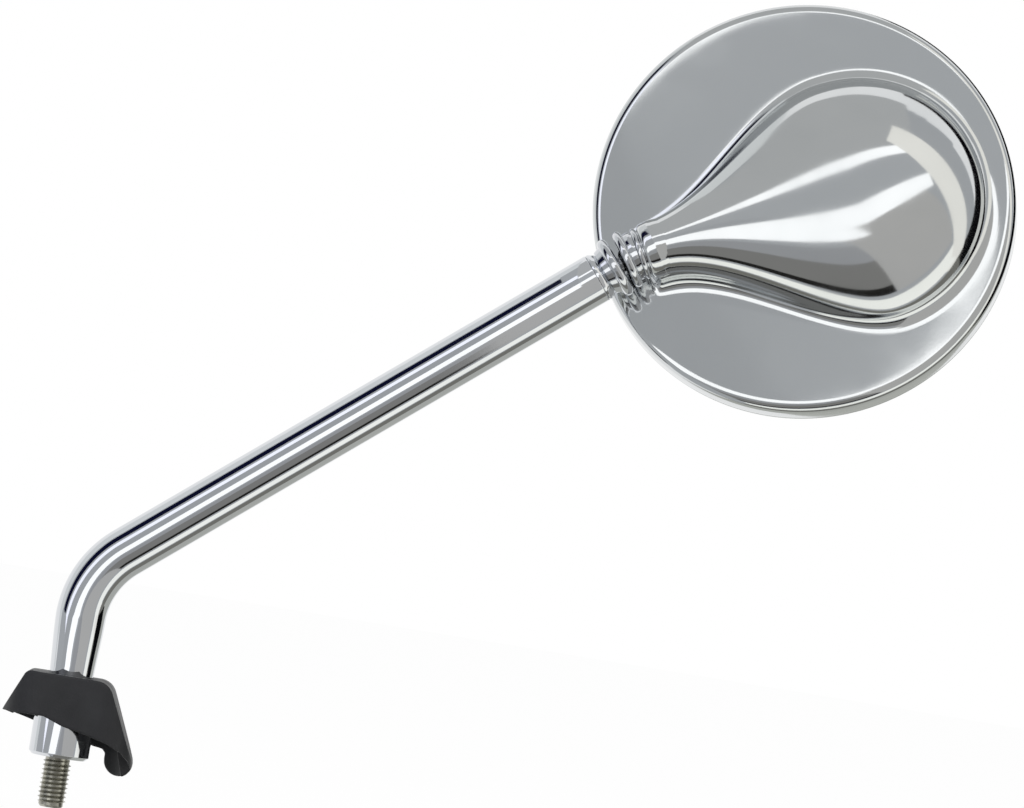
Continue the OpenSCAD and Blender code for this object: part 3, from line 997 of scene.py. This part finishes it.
@dataclass(frozen=True)
class BallJoint:
    """The ball, its nested rings, the nylon seat, the socket and the spring behind it."""

    ball: float = 5.0
    shank: float = 2.4
    play: float = 0.05
    seat_wall: float = 0.8
    socket_wall: float = 1.0
    socket_mouth: float = 3.8
    socket_length: float = 14.2
    insert_radius: float = 6.75
    neck_start: float = 2.35
    dish: float = 8.911
    collar_bead: float = 1.5
    collar_ring: float = 7.2
    collar_back: float = 2.25
    collar_web: float = 0.8
    ring_radius: float = 7.0
    ring_bead: float = 1.25
    ring_back: float = 2.6
    lock_groove: float = 6.45
    lock_bead: float = 0.85
    lock_forward: float = 1.35
    nose_radius: float = 4.4
    nose: float = 0.9
    ferrule_length: float = 2.4
    ferrule_round: float = 7.6
    ferrule_centre: float = 2.6
    tube: float = 7.0
    tube_play: float = 0.1
    spigot: float = 5.9
    spigot_length: float = 14.0
    shank_sunk: float = 10.0
    wire: float = 0.6
    spring_turns: float = 2.6
    spring_play: float = 0.35
    cup_end: float = 6.0
    washer: float = 10.4

    @property
    def bore(self) -> float:
        """Inner radius of the socket."""
        return self.ball + 2 * self.play + self.seat_wall

    @property
    def ferrule_base(self) -> float:
        """Distance from the ball's centre back to the tube's end."""
        return self.dish + self.play + self.nose + self.ferrule_length

    def ferrule(self, place: Matrix) -> Object:
        """Makes the domed ferrule that closes the tube's end, with the shank's bore."""
        base = self.ferrule_base
        top = base - self.ferrule_length
        below, sunk = base + self.ferrule_centre, base + self.shank_sunk
        outline = [(0.0, -base - self.spigot_length), (self.spigot, -base - self.spigot_length)]
        outline += [(self.spigot, -base)]
        for t in [0.0] + steps(12):
            z = -base + (base - top) * t
            out = math.sqrt(self.ferrule_round**2 - (z + below) ** 2)
            outline.append((min(self.tube - self.tube_play, out), z))
        outline += [(self.nose_radius, -top), (self.nose_radius, -top + self.nose)]
        outline += [(self.shank, -top + self.nose), (self.shank, -sunk), (0.0, -sunk)]
        return turned("end_cap", outline, place, False)

    def ball_piece(self, place: Matrix) -> Object:
        """Makes the ball on its shank."""
        sunk = self.ferrule_base + self.shank_sunk
        start = -math.degrees(math.acos(self.shank / self.ball))
        outline = [(0.0, -sunk), (self.shank, -sunk)] + bead(0, 0, self.ball, start, 90 - start, 40)
        return turned("ball", outline, place, False)

    def collar(self, place: Matrix) -> Object:
        """Makes the dished collar with its round bead."""
        nose = self.dish + self.play
        middle = self.dish - self.collar_back
        outline = [(self.nose_radius, -nose - self.nose)]
        outline += [(self.collar_ring - self.collar_web, -nose - self.nose)]
        outline += dished(bead(self.collar_ring, -middle, self.collar_bead, -93, 312, 90), self.dish)
        return turned("collar_ring", outline + [(self.nose_radius, -nose)], place, True)

    def ring(self, place: Matrix) -> Object:
        """Makes the swivel ring that lies on the socket."""
        whole = bead(self.ring_radius + 0.1, -self.ring_back, self.ring_bead, 0, 360 * 79 / 80, 79)
        return turned("middle_ring", dished(whole, self.ring_radius), place, True)

    def socket(self, place: Matrix) -> Object:
        """Makes the steel socket, rolled in at its mouth."""
        outer, inner = self.bore + self.socket_wall, self.bore
        low_out, low_in = (math.degrees(math.asin(self.socket_mouth / r)) for r in (outer, inner))
        outline = bead(0, 0, outer, -low_out, low_out, 24)
        outline += [(self.lock_groove, 0), (self.lock_groove, self.neck_start)]
        outline += [(self.insert_radius, self.neck_start), (self.insert_radius, self.socket_length)]
        outline += [(inner, self.socket_length)] + bead(0, 0, inner, 0, -low_in, 24)
        return turned("socket_shell", outline, place, True)

    def lock(self, place: Matrix) -> Object:
        """Makes the lock ring next to the neck."""
        outline = bead(self.lock_groove + 0.1, self.lock_forward, self.lock_bead, -96, 192, 40)
        return turned("lock_bead", [(max(r, self.lock_groove), z) for r, z in outline], place, True)

    def spring(self, place: Matrix, finish: Material) -> Object:
        """Winds the spring between the cup and the washer."""
        height = self.washer - self.cup_end - 2 * self.wire
        radius = self.bore - self.wire - self.spring_play
        coil = Coil("pressure_spring", self.spring_turns, radius, height, self.wire, 12, 0.01)
        return coil.make(place @ Matrix.Translation((0, 0, self.cup_end + self.wire)), finish, 60)

    def build(self, layout: Layout, palette: Palette) -> None:
        """Builds and dresses the ball joint.

        Args:
            layout: shared places.
            palette: shared finishes.
        """
        arm, neck = layout.on_arm(), layout.on_neck()
        coil = self.spring(neck, palette.material(Slot.SPRING))
        settle(palette, self.ferrule(arm), Body.STEM, Slot.STEM, "end_ferrule")
        settle(palette, self.ball_piece(arm), Body.STEM, Slot.STEEL, "ball_stud")
        settle(palette, self.collar(arm), Body.STEM, Slot.RINGS, "dished_collar")
        settle(palette, self.ring(layout.between()), Body.RING, Slot.RINGS, "swivel_ring")
        settle(palette, self.socket(neck), Body.HEAD, Slot.RINGS, "neck_socket")
        settle(palette, self.lock(neck), Body.HEAD, Slot.RINGS, "lock_ring")
        settle(palette, coil, Body.SEAT, Slot.SPRING, "joint_spring")


@dataclass(frozen=True)
class Stem:
    """The bent tube, its foot collar and the threaded stud."""

    tube: float = 7.0
    wall: float = 1.0
    roll: float = 0.45
    leg: float = 6.1
    corner: float = 51.2
    bend: float = 26.0
    arm_length: float = 175.6
    tube_end: float = 12.261
    socket: float = 9.0
    cowl_top: float = 23.0
    cowl_ceiling: float = 21.2
    collar: float = 8.4
    collar_chamfer: float = 0.9
    stud: float = 4.0
    stud_root: float = 3.6
    stud_lead: float = 0.4
    stud_length: float = 14.0
    thread_core: float = 3.4
    thread_ridge: float = 0.7
    thread_margins: tuple[float, float] = (0.8, 0.4)
    tip: Point2 = (2.9, 0.6)
    pitch: float = 1.25
    segments: int = 144

    def centre_line(self, layout: Layout) -> list[tuple[Vector, Vector, float]]:
        """Gives the tube's centre line.

        Args:
            layout: shared places.

        Returns:
            Point, outward side in the plane of the bend, and radius, at each step.
        """
        turn = math.radians(90 - layout.arm_angle)
        tangent = self.bend * math.tan(turn / 2)
        top = self.corner - tangent
        outward = Vector((-1, 0, 0))
        line = []
        for t in [0.0] + steps(8):
            z = self.socket + (self.cowl_top - self.socket) * t
            line.append((Vector((0, 0, z)), outward, self.leg))
        for t in steps(12):
            z = self.cowl_top + (top - self.cowl_top) * t
            radius = self.leg + (self.tube - self.leg) * ease(t, -0.2, 1.1)
            line.append((Vector((0, 0, z)), outward, radius))
        for t in steps(48):
            side = Vector((-math.cos(turn * t), 0, math.sin(turn * t)))
            line.append((Vector((self.bend, 0, top)) + side * self.bend, side, self.tube))
        start, side = line[-1][:2]
        length = self.arm_length - tangent - self.tube_end
        return line + [(start + layout.arm * length * t, side, self.tube) for t in steps(16)]

    def tube_piece(self, layout: Layout) -> Object:
        """Makes the hollow tube, its end slightly rolled in.

        Args:
            layout: shared places.

        Returns:
            The tube.
        """
        line = self.centre_line(layout)
        end, side, radius = line[-1]
        loops = line[:-1]
        for t in [0.0] + steps(6):
            angle = math.pi / 2 * t
            at = end - layout.arm * self.roll * (1 - math.sin(angle))
            loops.append((at, side, radius - self.roll * (1 - math.cos(angle))))
        loops += [(at, out, r - self.wall) for at, out, r in reversed(line)]
        angles = [2 * math.pi * k / self.segments for k in range(self.segments)]
        verts = [
            at + out * r * math.cos(a) + SIDEWAYS * r * math.sin(a)
            for at, out, r in loops
            for a in angles
        ]
        faces = ring_faces(len(loops), self.segments, True)
        return make_piece("bent_tube", verts, faces, Matrix.Scale(MM, 4))

    def collar_piece(self) -> Object:
        """Makes the foot collar, chamfered at its lower edge."""
        outline = [
            (self.collar - self.collar_chamfer, 0),
            (self.collar, self.collar_chamfer),
            (self.collar, self.cowl_ceiling),
            (self.leg, self.cowl_ceiling),
            (self.leg, self.socket),
            (self.stud_root, self.socket),
            (self.stud_root, self.stud_lead),
            (self.stud, 0),
        ]
        return turned("stem_collar", rounded(outline, 0.2, True), Matrix.Scale(MM, 4), True)

    def stud_core(self) -> Object:
        """Makes the stud below its thread, with a turned relief under the collar."""
        low, (tip, lead) = -self.stud_length, self.tip
        outline = [(0, low), (tip, low), (self.thread_core, low + lead), (self.thread_core, -0.2)]
        outline += [(self.stud_root, 0.1), (self.stud_root, self.socket), (0, self.socket)]
        return turned("stud_core", outline, Matrix.Scale(MM, 4), False)

    def thread(self, finish: Material) -> Object:
        """Winds the ridge of the stud's thread."""
        below, above = self.thread_margins
        length = self.stud_length - below - above
        core = self.stud - self.thread_ridge
        coil = Coil("stud_thread", length / self.pitch, core, length, self.thread_ridge, 3, 0.8)
        lowered = Matrix.Scale(MM, 4) @ Matrix.Translation((0, 0, below - self.stud_length))
        return coil.make(lowered, finish, 30)

    def build(self, layout: Layout, palette: Palette) -> None:
        """Builds and dresses the stem.

        Args:
            layout: shared places.
            palette: shared finishes.
        """
        ridge = self.thread(palette.material(Slot.ZINC))
        settle(palette, self.tube_piece(layout), Body.STEM, Slot.STEM, "stem_tube")
        settle(palette, self.collar_piece(), Body.STEM, Slot.STEM, "foot_collar")
        settle(palette, self.stud_core(), Body.STEM, Slot.ZINC, "mounting_stud")
        settle(palette, ridge, Body.STEM, Slot.ZINC)


@dataclass(frozen=True)
class Cowl:
    """The black moulded cowl: the CAD form with its moulded edges rounded."""

    grain: float = 0.26
    smoothing: int = 4

    def build(self, nodes: dict[str, Object], palette: Palette) -> None:
        """Builds and dresses the cowl.

        Args:
            nodes: the frame's CAD nodes.
            palette: shared finishes.
        """
        piece = linked("moulded_cowl", nodes["base_cowl"].data.copy())
        shade(piece.data, 30)
        remesh = piece.modifiers.new("skin", "REMESH")
        remesh.mode, remesh.voxel_size = "VOXEL", self.grain * MM
        smooth = piece.modifiers.new("moulded_edges", "SMOOTH")
        smooth.factor, smooth.iterations = 0.5, self.smoothing
        settle(palette, baked(piece, 60), Body.STEM, Slot.COWL, "base_cowl")


@dataclass(frozen=True)
class Card:
    """A glowing strip that only reflections see, laid along the arm.

    Start and end are in degrees round the arm, from the camera's side up over the arm, and
    lean turns the card towards the arm's far end. Shift and length are in metres along it.
    The colour is the tone that the card gives the chrome.
    """

    title: str
    start: float
    end: float
    colour: str
    length: float = 5.0
    shift: float = 0.0
    distance: float = 1.6
    lean: float = 0.0


CARDS: tuple[Card, ...] = (
    # Beside the arm: the stripes along the tube
    Card("pale_back_strip", 96, 124, "#C4C6C6", 2.6, -1.2),
    Card("night_strip", 66, 88, "#0A0C24", 2.6, -1.3),
    Card("upper_window", 44, 58, "#F4F5FF", 2.6, -1.2),
    Card("grey_wall", 20, 44, "#97999B", 2.6, -1.2),
    Card("lower_window", 1, 20, "#FFFFFF", 2.6, -1.2),
    Card("grey_door", -16, -3, "#8E8F91", 2.6, -1.35),
    Card("dusk_door", -42, -16, "#747371", 2.6, -1.35),
    Card("floor_gap", -52, -42, "#1E1D1C", 2.6, -1.35),
    Card("floor_strip", -78, -58, "#EAEAE4"),
    Card("under_strip", -104, -82, "#6C6B66"),
    Card("far_under_strip", -150, -104, "#A0A19C"),
    # Beyond the ball: the quieter tones on the head
    Card("head_wall", 20, 40, "#9FA1A3", 2.0, 1.1, 1.58),
    Card("head_window", 40, 47, "#FFFFFF", 2.0, 1.1, 1.58),
    Card("head_ceiling", 47, 108, "#A2A3A3", 2.0, 1.1, 1.58),
    Card("head_low_window", 8, 20, "#FFFFFF", 2.0, 1.1, 1.58),
    Card("head_door", -52, 8, "#A3A2A0", 2.2, 1.05, 1.58),
    Card("far_shoulder_light", -80, 60, "#DEDCD6", 0.5, 0.0, 1.5, 66),
    Card("far_wall_flag", -20, 75, "#08080A", 1.0, 0.0, 1.5, 124),
)


@dataclass(frozen=True)
class Studio:
    """The white surroundings, the cards that the chrome reflects, the lamps and the camera."""

    middle: tuple[float, float, float] = (0.1084, -3.0, 0.1166)
    roll: float = 9.2
    lens: float = 381.0
    width: int = 1024
    height: int = 808
    samples: int = 192
    floor_height: float = -0.0152
    floor_radius: float = 3.0
    floor_glow: float = 0.97
    world_light: float = 0.62
    target: tuple[float, float, float] = (0.1357, 0.0, 0.1627)
    arm_angle: float = 39.4
    plate_share: float = 0.69
    surround: str = "#9B9D9F"
    tent_radius: float = 2.6
    tent_back: float = 0.35

    def glow(self, title: str, colour: str) -> Material:
        """Makes a material that glows so that the plate shows it in one colour."""
        material = bpy.data.materials.new(title)
        tree = blank(material)
        strength = 1 / self.plate_share
        light = add_node(tree, "ShaderNodeEmission", {"Color": linear(colour), "Strength": strength})
        add_node(tree, "ShaderNodeOutputMaterial", {"Surface": light.outputs["Emission"]})
        return material

    def seen(self, tree: NodeTree) -> NodeSocket:
        """Gives 1 for rays from the camera and from reflections and glass, else 0."""
        path = add_node(tree, "ShaderNodeLightPath").outputs
        first = maths(tree, "ADD", path["Is Camera Ray"], path["Is Glossy Ray"])
        return maths(tree, "ADD", first, path["Is Transmission Ray"], True)

    def world(self) -> None:
        """Makes the world white to look at, with a plain even light from it."""
        world = bpy.data.worlds.new("studio_white")
        tree = blank(world)
        span = {"Value": self.seen(tree), "To Min": self.world_light, "To Max": 1.0}
        level = add_node(tree, "ShaderNodeMapRange", span).outputs["Result"]
        white = {"Color": linear("#FFFFFF"), "Strength": level}
        light = add_node(tree, "ShaderNodeBackground", white).outputs["Background"]
        add_node(tree, "ShaderNodeOutputWorld", {"Surface": light})
        bpy.context.scene.world = world

    def floor(self) -> None:
        """Lays the pale floor, which keeps a soft shadow of the object."""
        material = bpy.data.materials.new("pale_studio_floor")
        tree = blank(material)
        glow = {"Color": linear("#FFFFFF"), "Strength": 1.0}
        parts = {
            0: maths(tree, "MULTIPLY", self.seen(tree), self.floor_glow),
            1: add_node(tree, "ShaderNodeBsdfDiffuse", {"Color": linear("#F4F4F4")}).outputs["BSDF"],
            2: add_node(tree, "ShaderNodeEmission", glow).outputs["Emission"],
        }
        mix = add_node(tree, "ShaderNodeMixShader", parts).outputs["Shader"]
        add_node(tree, "ShaderNodeOutputMaterial", {"Surface": mix})
        place = (0.1, 0, self.floor_height)
        bpy.ops.mesh.primitive_circle_add(
            vertices=96, radius=self.floor_radius, fill_type="NGON", location=place
        )
        floor = bpy.context.object
        floor.name = "studio_floor"
        floor.data.materials.append(material)
        floor.visible_glossy = False

    def reflected_only(self, thing: Object) -> None:
        """Hides a card from all but reflections."""
        thing.visible_camera = thing.visible_diffuse = False
        thing.visible_shadow = thing.visible_transmission = False

    def tent(self) -> None:
        """Sets the grey half round behind the camera that gives the chrome its body tone."""
        bpy.ops.mesh.primitive_uv_sphere_add(
            segments=64, ring_count=32, radius=self.tent_radius, location=self.target
        )
        tent = bpy.context.object
        tent.name = "grey_surround"
        work = bmesh.new()
        work.from_mesh(tent.data)
        gone = [v for v in work.verts if v.co.y > self.tent_back]
        bmesh.ops.delete(work, geom=gone, context="VERTS")
        work.to_mesh(tent.data)
        work.free()
        tent.data.materials.append(self.glow("grey_paper", self.surround))
        self.reflected_only(tent)

    def card(self, card: Card) -> None:
        """Stands one card in its place, facing the mirror.

        Args:
            card: its angles, colour and size.
        """
        along = slanted(self.arm_angle)
        middle = math.radians((card.start + card.end) / 2)
        aim = quarter_turned(along) * math.sin(middle) - SIDEWAYS * math.cos(middle)
        half = card.distance * math.tan(math.radians(abs(card.end - card.start) / 2))
        side = along.cross(aim) * half
        lean = math.radians(card.lean)
        forward = along * math.cos(lean) - aim * math.sin(lean)
        towards = aim * math.cos(lean) + along * math.sin(lean)
        at = Vector(self.target) + towards * card.distance + forward * card.shift
        reach = forward * card.length / 2
        corners = [at - reach - side, at + reach - side, at + reach + side, at - reach + side]
        mesh = bpy.data.meshes.new(card.title)
        mesh.from_pydata(corners, [], [(0, 1, 2, 3)])
        mesh.materials.append(self.glow(card.title, card.colour))
        self.reflected_only(linked(card.title, mesh))

    def lamp(self, title: str, at: tuple[float, float, float], size: float, watts: float) -> None:
        """Hangs one soft lamp that faces the mirror.

        Args:
            title: its name.
            at: its place.
            size: side of its square.
            watts: its power.
        """
        light = bpy.data.lights.new(title, "AREA")
        light.size, light.energy = size, watts
        thing = linked(title, light)
        thing.location = at
        aim = Vector(self.target) - Vector(at)
        thing.rotation_euler = aim.to_track_quat("-Z", "Y").to_euler()
        thing.visible_glossy = False

    def camera(self) -> None:
        """Places the camera where the photograph was taken from."""
        right = slanted(self.roll)
        up = quarter_turned(right)
        turn = Matrix((right, up, right.cross(up))).transposed().to_4x4()
        data = bpy.data.cameras.new("camera")
        data.lens, data.sensor_width, data.clip_end = self.lens, 36.0, 100.0
        camera = linked("camera", data)
        camera.matrix_world = Matrix.Translation(self.middle) @ turn
        bpy.context.scene.camera = camera

    def build(self) -> None:
        """Sets up the world, floor, cards, lamps, camera and render."""
        self.world()
        self.floor()
        self.tent()
        for card in CARDS:
            self.card(card)
        self.lamp("key_softbox", at=(-0.6, -1.4, 1.5), size=1.2, watts=22)
        self.lamp("fill_softbox", at=(1.3, -1.2, 0.6), size=1.0, watts=8)
        self.camera()
        scene = bpy.context.scene
        scene.render.engine = "CYCLES"
        scene.render.resolution_x, scene.render.resolution_y = self.width, self.height
        scene.cycles.samples = self.samples
        scene.cycles.use_denoising = True
        scene.view_settings.view_transform = "Standard"
        LOG.info("studio with %d cards", len(CARDS))


def main() -> None:
    """Builds the mirror round the frame, then its studio."""
    logging.basicConfig(level=logging.INFO, format="%(name)s: %(message)s")
    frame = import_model()
    joints = frame["record"]["behaviour"]["joints"]
    layout = Layout(Vector(joints[0]["pos_m"]), Vector(joints[2]["axis"]).normalized())
    palette = Palette()
    Head().build(layout, palette)
    BallJoint().build(layout, palette)
    Stem().build(layout, palette)
    Cowl().build(frame["nodes"], palette)
    for name, slot in KEPT_NODES.items():
        palette.dress(frame["nodes"][name], slot)
        LOG.info("%s keeps its CAD form: %s", name, slot.value)
    Studio().build()


if __name__ == "__main__":
    main()
